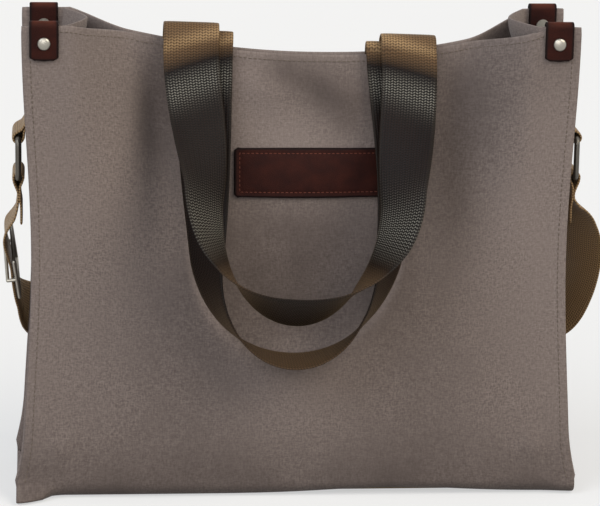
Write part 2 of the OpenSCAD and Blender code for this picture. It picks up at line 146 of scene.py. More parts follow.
floor_half, floor_glow = 9.0, 0.6
floor_dim, floor_pale = (0.30, 0.30, 0.30, 1), (0.88, 0.88, 0.88, 1)
floor_mesh = bpy.data.meshes.new("floor")
floor_mesh.from_pydata([(-floor_half, -floor_half, 0), (floor_half, -floor_half, 0),
                        (floor_half, floor_half, 0), (-floor_half, floor_half, 0)], [], [(0, 1, 2, 3)])
floor = bpy.data.objects.new("floor", floor_mesh)
scene.collection.objects.link(floor)
floor_paint, wire = new_finish("floor_paint")
seen = seen_directly(wire)
matt = wire.add("BsdfDiffuse", {}, {"Color": seen.blend(floor_dim, floor_pale)})
bright = wire.add("Emission", {}, {"Color": pale})
surface = wire.add("MixShader", {}, {0: floor_glow * seen, 1: matt, 2: bright})
wire.add("OutputMaterial", {}, {"Surface": surface})
floor_mesh.materials.append(floor_paint)

for name, strength, tint, softness, turn, height in (
        ("right_lamp", 1.9, (1.0, 0.93, 0.80), 40, 52, 40),
        ("left_lamp", 1.55, (0.90, 0.95, 1.0), 40, -54, 40),
        ("front_lamp", 0.8, (1.0, 0.98, 0.96), 30, -6, 16)):
    lamp = bpy.data.objects.new(name, bpy.data.lights.new(name, "SUN"))
    lamp.data.energy, lamp.data.angle, lamp.data.color = strength, np.radians(softness), tint
    lamp.rotation_euler = (np.radians(90 - height), 0.0, np.radians(turn))
    scene.collection.objects.link(lamp)


# Canvas body: one length of heavy taupe canvas that runs from the front hem under the base to the
# back hem. The hems are turned in, and the snap draws the two faces together in the middle.
MM = 0.001
body_w, base_w, body_d, mouth_d = 380, 380, 100, 80
corner_h, mouth_dip, waist, swell, ear, base_r = 332, 26, 6, 3, 5, 12
canvas_t, hem_t, hem_h, pinned_w, mouth_gap = 1.6, 1.2, 25, 28, 8
pinch_y = mouth_gap / 2 + canvas_t + hem_t
hem_v = 1 - hem_h / (corner_h - mouth_dip - base_r)
pinned_clear, rim_drop, ripple_h = 1.5, 1.2, 0.35
flat_u = 1 - (pinned_w + pinned_clear) / (body_w / 2)
# Places on a face are shares: u from -1 at its left seam to 1, and v from 0 at the base fold to 1.
dip_u, dip_reach, dip_power = 0.12, 0.87, 2.2
ear_v, swell_v, drawn_v, pinch_base, pinch_mouth = 0.12, 0.2, 0.9, 0.7, 0.28
calm_u, calm_top_v, calm_base_v, hem_step_u, hem_step_v = 0.12, 0.10, 0.03, 0.012, 0.004


def mix(a, b, t):
    """From a to b by the share t."""
    return a + (b - a) * t


def ease(t):
    """A smooth step from 0 to 1: three times the square of t less twice its cube."""
    c = np.clip(t, 0, 1)
    return c * c * (3 - 2 * c)


def unit(vectors):
    """Each vector divided by its length."""
    return vectors / np.linalg.norm(vectors, axis=-1, keepdims=True)


def half_w(v):
    """Half the width at a share v of the height: a taper, less the drawn-in waist, plus the base's ears."""
    return (mix(base_w / 2, body_w / 2, v) - waist * np.sin(np.pi * np.clip(v, 0, 1)) ** 2
            + ear * np.maximum(0, 1 - v / ear_v) ** 2)


def top_z(u):
    """Height of the mouth's edge: level at the corners, and between them a dip that rises as a power of
    the distance from its lowest place, dip_u to the right of the middle."""
    share = np.minimum(1, np.abs(u - dip_u * (1 - u * u)) / dip_reach)
    return corner_h - mouth_dip * (1 - share ** dip_power)


def panel_z(u, v):
    """Height at a share v of the way from the base fold up to the mouth's edge."""
    return mix(base_r, top_z(u), v)


def edge_y(v):
    """Depth at the side seams: half the base's depth, easing to half the mouth's."""
    return mix(body_d / 2, mouth_d / 2, ease(v))


def mid_y(v):
    """Depth in the middle of a face: a slight swell above the base, then drawn in to the snap."""
    swollen = body_d / 2 + swell * np.sin(np.pi / 2 * np.clip(v / swell_v, 0, 1))
    return mix(swollen, pinch_y, ease((v - swell_v) / (drawn_v - swell_v)))


def share_z(z):
    """The share v at a height z, with the mouth's edge taken at six tenths of its dip."""
    return np.clip((z - base_r) / (corner_h - 0.6 * mouth_dip - base_r), 0, 1)


def fold_lift(x, z, folds):
    """Soft folds: each rises as a bell curve across a line from one point to another, and dies out
    at the line's two ends with a squared sine."""
    x0, z0, x1, z1, wide, high = np.array(folds, float).T
    dx, dz = x1 - x0, z1 - z0
    t = np.clip(((x[..., None] - x0) * dx + (z[..., None] - z0) * dz) / (dx * dx + dz * dz), 0, 1)
    across = np.hypot(x[..., None] - x0 - t * dx, z[..., None] - z0 - t * dz)
    return (high * np.exp(-(across / wide) ** 2) * np.sin(np.pi * t) ** 2).sum(-1)


# Each fold: x and z of its line's two ends, its width and how far it stands out, in mm.
front_folds = [(-80, 228, 92, 232, 30, 7.0), (-84, 140, 88, 144, 40, -5.0), (-52, 322, 2, 252, 16, 3.5),
               (10, 325, 40, 250, 12, 2.0), (-60, 310, -30, 210, 20, 2.5), (36, 312, 58, 215, 22, 3.0),
               (112, 318, 128, 190, 24, -3.5), (-104, 318, -98, 200, 12, -3.0), (-150, 250, -60, 90, 40, 1.5),
               (150, 210, 60, 60, 45, 1.8), (-120, 60, 20, 20, 26, 1.2), (178, 22, 150, 50, 9, 1.6),
               (160, 16, 196, 34, 6, -1.2), (-184, 24, -150, 46, 9, 1.4)]
back_folds = [(-30, 318, -10, 205, 24, -3.5), (45, 315, 20, 215, 22, 2.5), (-110, 318, -122, 190, 24, -3.0),
              (116, 318, 124, 200, 22, -3.0), (140, 240, 50, 80, 42, 1.6), (-150, 220, -50, 70, 42, 1.6)]


def face_y(u, v, folds):
    """Distance of a face from the bag's middle plane: the side seam's depth and the middle's depth,
    mixed by how far u lies from the pinned corners, plus soft folds and a faint ripple, a product of
    two waves, away from the seams."""
    pinch = ease((1 - np.minimum(1, np.abs(u) / flat_u)) / mix(pinch_base, pinch_mouth, v * v))
    x, z = u * half_w(v), panel_z(u, v)
    clear = ease((1 - np.abs(u)) / calm_u) * ease((1 - v) / calm_top_v) * ease(v / calm_base_v)
    ripple = ripple_h * np.sin(x / 23 + 1.3 * np.sin(z / 41)) * np.sin(z / 37 + 0.8 * np.sin(x / 52))
    return mix(edge_y(v), mid_y(v), pinch) + clear * (fold_lift(x, z, folds) + ripple)


def make_piece(name, points, faces, places, finish):
    """A smooth mesh object from points in mm and faces as lists of points, with each point's place on the
    flat cloth as the attribute cloth."""
    mesh = bpy.data.meshes.new(name)
    mesh.from_pydata((points * MM).tolist(), [], faces)
    shape = bmesh.new()
    shape.from_mesh(mesh)
    bmesh.ops.recalc_face_normals(shape, faces=shape.faces)
    shape.to_mesh(mesh)
    shape.free()
    flat = np.zeros((len(points), 3))
    flat[:, :places.shape[1]] = places
    mesh.attributes.new("cloth", "FLOAT_VECTOR", "POINT").data.foreach_set("vector", flat.ravel())
    mesh.shade_smooth()
    mesh.materials.append(finish)
    piece = bpy.data.objects.new(name, mesh)
    scene.collection.objects.link(piece)
    return piece


def sewn_layer(name, outer, inner, cloth, finish, rim=3):
    """A layer of cloth or leather between two grids of points in mm, its rows going up and its columns
    to the right as seen from outside. The rim is a half round from the edge of one grid to that of the
    other. cloth gives each point's place on the flat cloth, which the weave follows."""
    rows, cols = outer.shape[:2]
    size = rows * cols
    at = np.arange(size).reshape(rows, cols)
    edge = np.concatenate([at[0, :-1], at[:-1, -1], at[-1, :0:-1], at[:0:-1, 0]])
    within = at[np.clip(edge // cols, 1, rows - 2), np.clip(edge % cols, 1, cols - 2)]
    flat_outer, flat_inner, flat_cloth = (g.reshape(size, -1) for g in (outer, inner, cloth))
    half, middle = (flat_outer - flat_inner)[edge] / 2, (flat_outer + flat_inner)[edge] / 2
    away = unit(flat_outer[edge] - flat_outer[within]) * np.linalg.norm(half, axis=1, keepdims=True)
    turn = (np.pi * np.arange(1, rim + 1) / (rim + 1))[:, None, None]
    bead = (middle + half * np.cos(turn) + away * np.sin(turn)).reshape(-1, 3)
    points = np.concatenate([flat_outer, flat_inner, bead])
    places = np.concatenate([flat_cloth, flat_cloth, np.tile(flat_cloth[edge], (rim, 1))])
    skin = np.stack([at[:-1, :-1], at[:-1, 1:], at[1:, 1:], at[1:, :-1]], -1).reshape(-1, 4)
    rings = np.concatenate([edge[None], 2 * size + np.arange(rim * len(edge)).reshape(rim, -1),
                            size + edge[None]])
    step = np.roll(rings, -1, axis=1)
    band = np.stack([rings[:-1], rings[1:], step[1:], step[:-1]], -1).reshape(-1, 4)
    faces = np.concatenate([skin, size + skin[:, ::-1], band]).tolist()
    return make_piece(name, points, faces, places, finish)


def cloth_place(wire, axes):
    """The place on the flat cloth, and its parts along these axes: X is the way across in mm, Y the way
    along it, and Z a third number: painted shade on the canvas, painted light on the webbing, and on
    the leather a dark cut edge or a painted highlight."""
    place = wire.add("Attribute", {"attribute_name": "cloth"}, out="Vector")
    return place, *(wire.add("SeparateXYZ", {}, {0: place}, out=axis) for axis in axes)


def noise_on(wire, place, stretch, detail=2.0):
    """Noise on a place, with one cycle in about stretch along each axis, in the unit of the place."""
    scaled = wire.add("VectorMath", {"operation": "MULTIPLY"}, {0: place, 1: [1 / s for s in stretch]})
    return wire.add("TexNoise", {}, {"Vector": scaled, "Scale": 1.0, "Detail": detail})


def bumps(wire, strength, deep, height):
    """The normal of a surface with bumps, deep mm from height 0 to height 1, weakened by strength."""
    return wire.add("Bump", {}, {"Strength": strength, "Distance": deep * MM, "Height": height})


def coat(wire, sockets):
    """The shader that a finish ends in, with the values or links of its sockets."""
    wire.add("OutputMaterial", {}, {"Surface": wire.add("BsdfPrincipled", {}, sockets)})


def canvas_finish(name, dark, light, wash, shade_paint, pitch=1.0, thread_run=2.6):
    """Plain weave: two sets of round threads, pitch mm apart, lie over and under each other in turn.
    Each thread goes dark and light along its length, about every thread_run mm, and the whole cloth is
    unevenly washed. Painted shade darkens it where the attribute's third number rises to 1."""
    finish, wire = new_finish(name)
    place, across, along, mark = cloth_place(wire, "XYZ")
    warp, weft = (wire.math("SINE", length * (np.pi / pitch)) for length in (across, along))
    over = warp * weft
    warp_top = wire.math("ABSOLUTE", warp) * (0.6 + 0.4 * over)
    weft_top = wire.math("ABSOLUTE", weft) * (0.6 - 0.4 * over)
    height = wire.math("MAXIMUM", warp_top, weft_top)
    warp_tone = noise_on(wire, place, (pitch, thread_run, 1))
    weft_tone = noise_on(wire, place, (thread_run, pitch, 1))
    tone = 0.5 * (warp_tone + weft_tone)
    patchy = noise_on(wire, place, (38, 46, 1), 3.0)
    colour = tone.between(0.36, 0.64).blend(dark, light)
    colour = (0.5 * patchy.between(0.35, 0.7)).blend(colour, wash)
    # Darker where the threads dip between each other: painted shade in the weave's hollows.
    colour = (0.55 * (1 - height)).blend(colour, dark)
    # Painted shade from the attribute's third number: beside, between and below the handles and toward the
    # foot.
    colour = (mark * (0.45 + 0.8 * patchy)).blend(colour, shade_paint)
    coat(wire, {"Base Color": colour, "Roughness": 0.75 + 0.2 * tone, "Specular IOR Level": 0.12,
                "Normal": bumps(wire, 0.5, 0.12, height + 0.8 * tone),
                "Sheen Weight": 0.12, "Sheen Roughness": 0.5})
    return finish


canvas = canvas_finish("taupe_canvas", paint(103, 92, 88), paint(144, 131, 125), paint(128, 116, 111),
                       shade_paint=paint(58, 49, 46))

# Rows and columns of a face, with more of them at the hem's step and along the side seams.
v_rows = np.unique(np.concatenate([np.linspace(0, 1, 76), hem_v + np.array([-0.008, -0.003, 0.001])]))
u_cols = np.sort(np.concatenate([np.linspace(-0.96, 0.96, 117), [-1, -0.985, 0.985, 1]]))
fold_angle = np.linspace(0, np.pi / 2, 9)[1:]
flat_half = body_d / 2 - base_r
long_ear, blunt_ear, full_ear, left_ear_u, right_ear_u = 15, 3, 5.5, 0.83, 0.88
arch_h, arch_u, arch_wide, sharp_out, sharp_down = 4.4, 0.35, 0.3, 0.35, 0.6


def face_points(u, v, folds, side, depth=0):
    """Points of the front (side -1) or back (side 1) face at places u, v, moved inward by depth."""
    return np.stack([u * half_w(v), side * (face_y(u, v, folds) - depth), panel_z(u, v) - rim_drop * v], -1)


def layer_depth(u, v):
    """Thickness of a face at places u, v: the canvas, plus the turned hem between the pinned corners."""
    hem = ease((v - hem_v + hem_step_v) / hem_step_v) * ease((flat_u - np.abs(u)) / hem_step_u)
    return canvas_t + hem_t * hem


def ear_poke(u, side):
    """How far the base's corners stick out past the fold, easing in toward each end of the width: long
    at the left front, blunt elsewhere."""
    left = ease((-u - left_ear_u) / (1 - left_ear_u))
    right = ease((u - right_ear_u) / (1 - right_ear_u))
    return (long_ear if side < 0 else blunt_ear) * left + blunt_ear * right


def fold_rise(u, side):
    """How far the front fold arches off the floor: a bell curve, highest to the right of the middle."""
    return arch_h * np.exp(-((u - arch_u) / arch_wide) ** 2) * (side < 0)


def base_fold(side):
    """Quarter turns of the base fold, from the face down to the floor: a circle of base_r, drawn out
    to a sharp ear at the corners by low powers of its sine and cosine."""
    u, a = np.meshgrid(u_cols, fold_angle)
    sharp = np.minimum(1, ear_poke(u, side) / full_ear)
    out = flat_half + base_r * np.maximum(np.cos(a), sharp * np.cos(a) ** sharp_out)
    down = base_r * np.maximum(np.sin(a), sharp * np.sin(a) ** sharp_down)
    poke = ear_poke(u, side) * np.sin(2 * a)
    rise = fold_rise(u, side) * np.sin(a) ** 2
    return np.stack([u * half_w(0.0), side * (out + poke), base_r - down + rise], -1)


base_y = np.linspace(flat_half, -flat_half, 24)[1:-1]
under_u, under_y = np.meshgrid(u_cols, base_y)
under_rise = fold_rise(under_u, -1) * ease(-under_y / flat_half)
underside = np.stack([under_u * half_w(0.0), under_y, under_rise], -1)
face_u, face_v = np.meshgrid(u_cols, v_rows)
front_face, back_face = (face_points(face_u, face_v, folds, side)
                         for folds, side in ((front_folds, -1), (back_folds, 1)))
outer = np.concatenate([back_face[::-1], base_fold(1), underside, base_fold(-1)[::-1], front_face])
fold_in = np.stack([np.zeros_like(fold_angle), np.cos(fold_angle), np.sin(fold_angle)], -1)
inward = np.concatenate([np.tile([0, -1, 0], (len(v_rows), 1)), fold_in * [1, -1, 1],
                         np.tile([0, 0, 1], (len(base_y), 1)), fold_in[::-1],
                         np.tile([0, 1, 0], (len(v_rows), 1))])[:, None, :]
plain_depth = np.full((2 * len(fold_angle) + len(base_y), len(u_cols)), canvas_t)
face_depth = layer_depth(face_u, face_v)
depth = np.concatenate([face_depth[::-1], plain_depth, face_depth])[..., None]


def flat_places(grid):
    """Lengths along the columns and along the rows of a grid, measured over its points."""
    along = np.linalg.norm(np.diff(grid, axis=0), axis=-1).mean(1)
    across = np.linalg.norm(np.diff(grid, axis=1), axis=-1).mean(0)
    return np.stack(np.meshgrid(np.append(0, np.cumsum(across)), np.append(0, np.cumsum(along))), -1)


# Painted shade on the front, beside, between and below the handles.
# Each mark: x and z of its middle, its reach across and up in mm, and how dark it is.
shade_marks = ((2, 160, 74, 50, 0.8), (118, 258, 26, 52, 0.6), (104, 215, 18, 40, 0.25),
              (-100, 268, 15, 48, 0.6), (-12, 295, 14, 13, 0.4), (8, 286, 16, 15, 0.45),
              (34, 272, 24, 24, 0.65), (-140, 190, 60, 170, 0.1), (-78, 88, 46, 60, 0.28),
              (88, 84, 50, 66, 0.28), (160, 302, 44, 26, 0.2))
# Painted shade toward the foot: for each bell curve, how much and its reach up in mm.
foot_shade = ((0.5, 36), (0.15, 90))


def painted_shade_on(grid):
    """How much painted shade the front has, from 0 to 1: bell-shaped marks beside, between and below the
    handles, and shade that thickens toward the foot as two bell curves of the height."""
    x, y, z = np.moveaxis(grid, -1, 0)
    painted_dark = sum(amount * np.exp(-(z / high) ** 2) for amount, high in foot_shade)
    for mark_x, mark_z, wide, high, amount in shade_marks:
        painted_dark = painted_dark + amount * np.exp(-((x - mark_x) / wide) ** 2 - ((z - mark_z) / high) ** 2)
    return painted_dark * (y < 0)


body_cloth = np.concatenate([flat_places(outer), painted_shade_on(outer)[..., None]], -1)
canvas_body = sewn_layer("canvas_body", outer, outer + inward * depth, body_cloth, canvas)
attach(canvas_body, "bag")
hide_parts("front_panel", "base_panel", "back_panel")

# Side gussets: narrow canvas panels sewn to the body in seams that stand outside, pinned flat under
# the corner tabs and folded inward in a pleat at the mouth.
seam_w, pleat, pleat_v, layer_gap, wall_slack = 5, 15, 0.74, 0.2, 1.6


def base_in(y):
    """Height of the base's inner face: flat, then up the quarter circle of its fold."""
    over, bend = np.abs(y) - flat_half, base_r - canvas_t
    curve = base_r - np.sqrt(np.maximum(0, bend ** 2 - np.clip(over, 0, bend) ** 2))
    return layer_gap + np.where(over <= 0, canvas_t, curve)


def gather(v):
    """How far the pleat draws the side in at a share v of the height: 0 below pleat_v, easing to 1."""
    return ease((v - pleat_v) / (1 - pleat_v))


def seam_y(v):
    """Depth of the gusset's outer face where it is sewn on: a small gap inside the panel."""
    return edge_y(v) - canvas_t - layer_gap


def side_share(z):
    """The share of the height at z, from the base fold to the corners."""
    return (z - base_r) / (corner_h - base_r)


def seam_margin(v):
    """Width of what is sewn or pinned to the panel at a share v: the seam, gathered wider at the mouth."""
    return mix(seam_w, pinned_w, gather(v))


def wall_places(y, v, s, depth, side):
    """A gusset's wall at depths y, shares v of the height and shares s of the way from seam to pleat: its
    way in, its height and the bag's half width there. The way in is the sewn margin and the depth, then
    a cubic to the pleat's crease, and slack that waves with both shares."""
    z = mix(base_in(y), corner_h - rim_drop, v)
    w = np.clip(side_share(z), 0, 1)
    slack = wall_slack * np.sin(np.pi * s) * np.sin(np.pi * w) * np.sin(6 * w + 2 * s + 0.9 * side)
    into = seam_margin(w) + depth + pleat * gather(w) * (4 * s - s ** 3) / 3 + slack
    return into, z, half_w(w)


wall_s = np.concatenate([[0, 0.015, 0.05], np.linspace(0.1, 1, 15)])
flap_f = np.linspace(0, 1, 5)[:-1]
gusset_v = np.linspace(0, 1, 61)


def gusset_half(depth, side):
    """One half of a gusset as rows of height and columns from the seam's edge to the pleat: a flap
    that lies on the panel, then the wall."""
    v = gusset_v[:, None]
    wall_y = (seam_y(v) - canvas_t) * (1 - wall_s)
    flap_y = np.broadcast_to(seam_y(v) - (0 if depth else canvas_t), (len(gusset_v), len(flap_f)))
    y = np.concatenate([flap_y, wall_y], 1)
    s = np.concatenate([np.zeros_like(flap_f), wall_s])
    on_wall = np.concatenate([flap_f, np.ones_like(wall_s)])
    into, z, half = wall_places(y, v, s, depth, side)
    return np.stack([into * on_wall - half, side * y, z], -1)


def both_sides(kind, half, depths, finish, rim):
    """The left and right pieces of a kind, between two depths: the back and front halves are joined at
    the pleat's crease, and the right piece is the left one mirrored."""
    for hand, mirror in (("left_", 1), ("right_", -1)):
        sides = [np.concatenate([half(depth, 1), half(depth, -1)[:, -2::-1]], 1)[:, ::mirror] * [mirror, 1, 1]
                 for depth in depths]
        side_cloth = sewn_layer(hand + kind + "_cloth", *sides, flat_places(sides[0]), finish, rim)
        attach(side_cloth, "bag")
        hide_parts(hand + kind)


both_sides("gusset", gusset_half, (0, canvas_t), canvas, rim=3)

# Lining: a thin dark brown twill bag inside the canvas, caught under the hems, with a stiff board
# between it and the base.
lining_t, lining_gap, board_t, twill_pitch = 0.6, 0.5, 2, 0.7
wall_clear, ground_clear, ground_over, ground_rows = 3, 4, 2, 16


def lining_finish():
    """Fine twill: slanting ridges, a sine of both lengths, half a millimetre apart on a dark brown cloth."""
    finish, wire = new_finish("brown_twill")
    place, across, along = cloth_place(wire, "XY")
    ridge = wire.math("SINE", (across + along) * (2 * np.pi / twill_pitch))
    tone = noise_on(wire, place, (22, 30, 1), 3.0)
    colour = (0.5 * tone + 0.12 * ridge).blend(paint(46, 33, 26), paint(78, 60, 48))
    coat(wire, {"Base Color": colour, "Roughness": 0.7 + 0.15 * tone, "Specular IOR Level": 0.2,
                "Normal": bumps(wire, 0.4, 0.06, ridge)})
    return finish


twill = lining_finish()
lining_v = np.linspace(0.035, hem_v - 0.012, 52)
lining_share = np.linspace(-1, 1, 71)


def lining_rows(folds, side, depth):
    """The canvas face moved inward by depth, between the gussets' walls."""
    v = lining_v[:, None]
    reach = 1 - (seam_margin(v) + canvas_t + wall_clear) / half_w(v)
    u = lining_share * reach
    return face_points(u, np.broadcast_to(v, u.shape), folds, side, depth)


def lining_loft(depth):
    """Back, base and front of the lining in one, the base flat on top of the board."""
    back, front = lining_rows(back_folds, 1, depth), lining_rows(front_folds, -1, depth)
    ground_x = lining_share * (base_w / 2 - seam_w - canvas_t - ground_clear)
    ground_y = np.linspace(flat_half + ground_over, -flat_half - ground_over, ground_rows)
    x, y = np.meshgrid(ground_x, ground_y)
    ground = np.stack([x, y, np.full_like(x, board_t + 2 * layer_gap + depth - lining_gap)], -1)
    return np.concatenate([back[::-1], ground, front])


lining_depth = canvas_t + lining_gap
lofts = lining_loft(lining_depth), lining_loft(lining_depth + lining_t)
lining_bag = sewn_layer("lining_bag", *lofts, flat_places(lofts[0]), twill, rim=1)
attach(lining_bag, "bag")
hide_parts("front_lining", "base_lining", "back_lining")

side_v, side_s = np.linspace(0.05, 0.94, 40), np.linspace(0.16, 1, 14)


def side_half(depth, side):
    """One half of a side lining: the gusset's wall moved inward by depth."""
    v, s = side_v[:, None], side_s
    y = (seam_y(v) - canvas_t) * (1 - s)
    into, z, half = wall_places(y, v, s, depth, side)
    return np.stack([into - half, side * y, z], -1)


both_sides("lining", side_half, (lining_depth, lining_depth + lining_t), twill, rim=1)

board, wire = new_finish("grey_board")
fibre = noise_on(wire, wire.add("TexCoord", out="Object"), (0.004, 0.0012, 0.002), 4.0)
coat(wire, {"Base Color": fibre.blend(paint(92, 78, 62), paint(132, 116, 96)),
            "Roughness": 0.75 + 0.2 * fibre})


def dress(node, finish):
    """The finish on a solid that is carried over as it is."""
    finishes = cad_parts[node].data.materials
    finishes.clear()
    finishes.append(finish)


dress("base_board", board)

# Seam and hem stitching: polyester thread in the canvas's colour, one row inside each side seam and
# one just below the mouth's edge.
thread_high, stitch_long, stitch_wide, stitch_pitch, strand_pitch = 0.35, 2.6, 0.75, 3.4, 0.55
seam_in, hem_down, lean_back = 5.0, 3.2, 0.12


def thread_finish(name, colour, light):
    """Twisted thread: slanting strands, a sine of both lengths, across each stitch."""
    finish, wire = new_finish(name)
    across, along = cloth_place(wire, "XY")[1:]
    strand = wire.math("SINE", (along + 0.6 * across) * (2 * np.pi / strand_pitch))
    coat(wire, {"Base Color": (0.5 + 0.4 * strand).blend(colour, light), "Roughness": 0.6,
                "Specular IOR Level": 0.3, "Normal": bumps(wire, 0.5, 0.08, strand)})
    return finish


def run_length(path):
    """The length along a path up to each of its points."""
    return np.append(0, np.cumsum(np.linalg.norm(np.diff(path, axis=0), axis=1)))


def stitch_row(name, path, normals, finish, pitch=stitch_pitch, long=stitch_long, wide=stitch_wide,
               high=thread_high, sides=8):
    """Stitches along a path on a surface: each is half an ellipsoid, long along the path, wide across
    it and high off the surface, one every pitch mm."""
    length = run_length(path)
    count = int(length[-1] // pitch)
    at = (np.arange(count) + 0.5) * length[-1] / count
    spot, ahead, behind = (np.stack([np.interp(at + d, length, path[:, k]) for k in range(3)], -1)
                           for d in (0, 0.4 * long, -0.4 * long))
    up = unit(np.stack([np.interp(at, length, normals[:, k]) for k in range(3)], -1))
    along = unit(ahead - behind)
    side = unit(np.cross(up, along))
    around = np.linspace(0, 2 * np.pi, sides, endpoint=False)
    rise = np.radians([-25, 12, 50])[:, None]
    dome = np.stack([np.cos(rise) * np.cos(around) * long / 2, np.cos(rise) * np.sin(around) * wide / 2,
                     np.sin(rise) * high + 0 * around], -1).reshape(-1, 3)
    top, foot = len(dome), len(dome) + 1
    dome = np.concatenate([dome, [[0, 0, high]], [[0, 0, -0.5 * high]]])
    points = (spot[:, None] + dome[:, :1] * along[:, None] + dome[:, 1:2] * side[:, None]
              + dome[:, 2:] * up[:, None]).reshape(-1, 3)
    ring = np.arange(sides)
    step = np.roll(ring, -1)
    walls = [np.stack([ring + k, step + k, step + k + sides, ring + k + sides], -1) for k in (0, sides)]
    cap = np.stack([ring + 2 * sides, step + 2 * sides, np.full(sides, top), np.full(sides, top)], -1)
    under = np.stack([step, ring, np.full(sides, foot), np.full(sides, foot)], -1)
    quads = np.concatenate([*walls, cap, under])
    faces = (quads[None] + (np.arange(count) * len(dome))[:, None, None]).reshape(-1, 4)
    faces = [f[:3] if f[2] == f[3] else f for f in faces.tolist()]
    places = np.tile(dome[:, 1::-1], (count, 1))
    return make_piece(name, points, faces, places, finish)


seam_thread = thread_finish("taupe_thread", paint(84, 74, 66), paint(112, 100, 90))


def sewn_on_face(name, u, v, side, folds):
    """A row of seam thread at places u, v of the front or back face."""
    path = face_points(u, v, folds, side)
    normals = np.tile([0.0, side, lean_back], (len(path), 1))
    row = stitch_row(name, path, normals, seam_thread)
    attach(row, "bag")


for face, side, folds in (("front", -1, front_folds), ("back", 1, back_folds)):
    for edge, hand in (("left", -1), ("right", 1)):
        v = np.linspace(0.0, 0.985, 120)
        sewn_on_face(f"{face}_{edge}_seam_stitches", hand * (1 - seam_in / half_w(v)), v, side, folds)
    u = np.linspace(-0.87, 0.87, 160)
    sewn_on_face(f"{face}_hem_stitches", u, 1 - hem_down / (top_z(u) - base_r), side, folds)

# Leather patch: a bare strip of dark red-brown leather sewn to the front between the handles, its
# cut edges painted and a row of red thread near them.
patch_w, patch_h, patch_x, patch_z, patch_corner = 108, 32.5, 10, 226, 1.6
leather_t, seat_gap, stitch_in, thread_sink, groove_deep, groove_wide = 1.8, 0.3, 3.0, 0.3, 0.35, 0.9


def leather_finish():
    """Grain: cells about a millimetre wide with creased borders, over broad darker clouds. Where the
    attribute's third number rises to 1 it is a dark cut edge, and where that falls to -1 it takes a painted
    highlight along the fold."""
    finish, wire = new_finish("brown_leather")
    place, edge = cloth_place(wire, "Z")
    cells = wire.add("TexVoronoi", {"feature": "DISTANCE_TO_EDGE"}, {"Vector": place, "Scale": 0.95})
    crease = cells.between(0.0, 0.22)
    cloud = noise_on(wire, place, (14, 10, 8), 4.0)
    fine = noise_on(wire, place, (0.6, 0.6, 0.6), 3.0)
    colour = cloud.between(0.3, 0.7).blend(paint(35, 12, 9), paint(54, 22, 15))
    colour = (0.35 * (1 - crease)).blend(colour, paint(20, 9, 8))
    colour = wire.math("MAXIMUM", edge, 0.0).blend(colour, paint(20, 10, 9))
    # A painted highlight where the third number falls below 0.
    painted_lit = wire.math("MAXIMUM", -1.0 * edge, 0.0) * (0.4 + 0.9 * cloud)
    colour = painted_lit.blend(colour, paint(94, 48, 33))
    coat(wire, {"Base Color": colour, "Roughness": 0.5 + 0.22 * fine, "Specular IOR Level": 0.09,
                "Normal": bumps(wire, 0.55, 0.14, crease + 0.5 * fine)})
    return finish


leather = leather_finish()
patch_i, patch_k = np.meshgrid(np.linspace(-1, 1, 73), np.linspace(-1, 1, 29))


def on_front(x, z, lift):
    """Points on the front face at places x, z, lifted off it by lift."""
    u = x / half_w(share_z(z))
    v = (z - base_r) / (top_z(u) - base_r)
    return np.stack([x, -face_y(u, v, front_folds) - lift, z], -1)


def round_off(corner, inside):
    """How far a round corner of that radius draws an edge in, at a distance inside from the piece's end:
    the radius less the other leg of the circle's right triangle."""
    past = np.maximum(0, corner - inside)
    return corner - np.sqrt(np.maximum(0, corner ** 2 - past ** 2))


def patch_face(lift):
    """A rectangle laid on the front face, its rows near the top and bottom drawn in to round corners."""
    pull = round_off(patch_corner, (1 - np.abs(patch_k)) * patch_h / 2)
    return on_front(patch_x + patch_i * (patch_w / 2 - pull), patch_z + patch_k * patch_h / 2, lift)


def from_edge(i, k, wide, high):
    """Distance in mm from the nearest edge of a piece, at shares i across and k up."""
    return np.minimum((1 - np.abs(i)) * wide / 2, (1 - np.abs(k)) * high / 2)


def edge_mark(i, k, wide, high, border=0.8):
    """1 on the cut edge of a leather piece, easing to 0 border mm inside it."""
    return 1 - ease(from_edge(i, k, wide, high) / border)


groove_off = from_edge(patch_i, patch_k, patch_w, patch_h) - stitch_in
groove = groove_deep * np.exp(-(groove_off / groove_wide) ** 2)
patch_cloth = np.stack([patch_i * patch_w / 2, patch_k * patch_h / 2,
                        edge_mark(patch_i, patch_k, patch_w, patch_h)], -1)
patch_piece = sewn_layer("leather_patch_sewn", patch_face(seat_gap + leather_t - groove),
                         patch_face(seat_gap), patch_cloth, leather)
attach(patch_piece, "bag")
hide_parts("leather_patch")

red_thread = thread_finish("red_thread", paint(72, 30, 20), paint(104, 52, 34))
line_x, line_z = patch_w / 2 - stitch_in, patch_h / 2 - stitch_in
walk = np.linspace(0, 1, 60)[:, None]
corners = np.array([[-line_x, -line_z], [line_x, -line_z], [line_x, line_z], [-line_x, line_z],
                    [-line_x, -line_z]])
stitch_line = np.concatenate([mix(a, b, walk) for a, b in zip(corners[:-1], corners[1:])])
patch_path = on_front(patch_x + stitch_line[:, 0], patch_z + stitch_line[:, 1],
                      seat_gap + leather_t - thread_sink)
patch_stitches = stitch_row("patch_stitches", patch_path, np.tile([0.0, -1.0, 0.1], (len(patch_path), 1)),
                            red_thread, pitch=3.1, long=2.3, high=0.4)
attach(patch_stitches, "bag")

# Corner tabs: leather strips folded over the four top corners, where they hold panel and gusset
# together, each with one nickel rivet through it.
tab_w, tab_h, tab_inset, tab_corner, tab_crown = 18, 23, 5.5, 2.2, 0.25
rivet_drop, rivet_r, rivet_h = 12, 4.5, 2.0
bend_z, leg_rows, tab_cols, tab_slack = corner_h - 0.8, 22, 17, 0.4
fold_highlight, fold_highlight_k, hide_x, hide_y, hide_half = 0.7, 0.16, 40, 50, 30
tab_x = body_w / 2 - tab_inset - tab_w / 2
slot_y = edge_y(1.0) - canvas_t - layer_gap / 2
slot_half = canvas_t + layer_gap / 2 + tab_slack


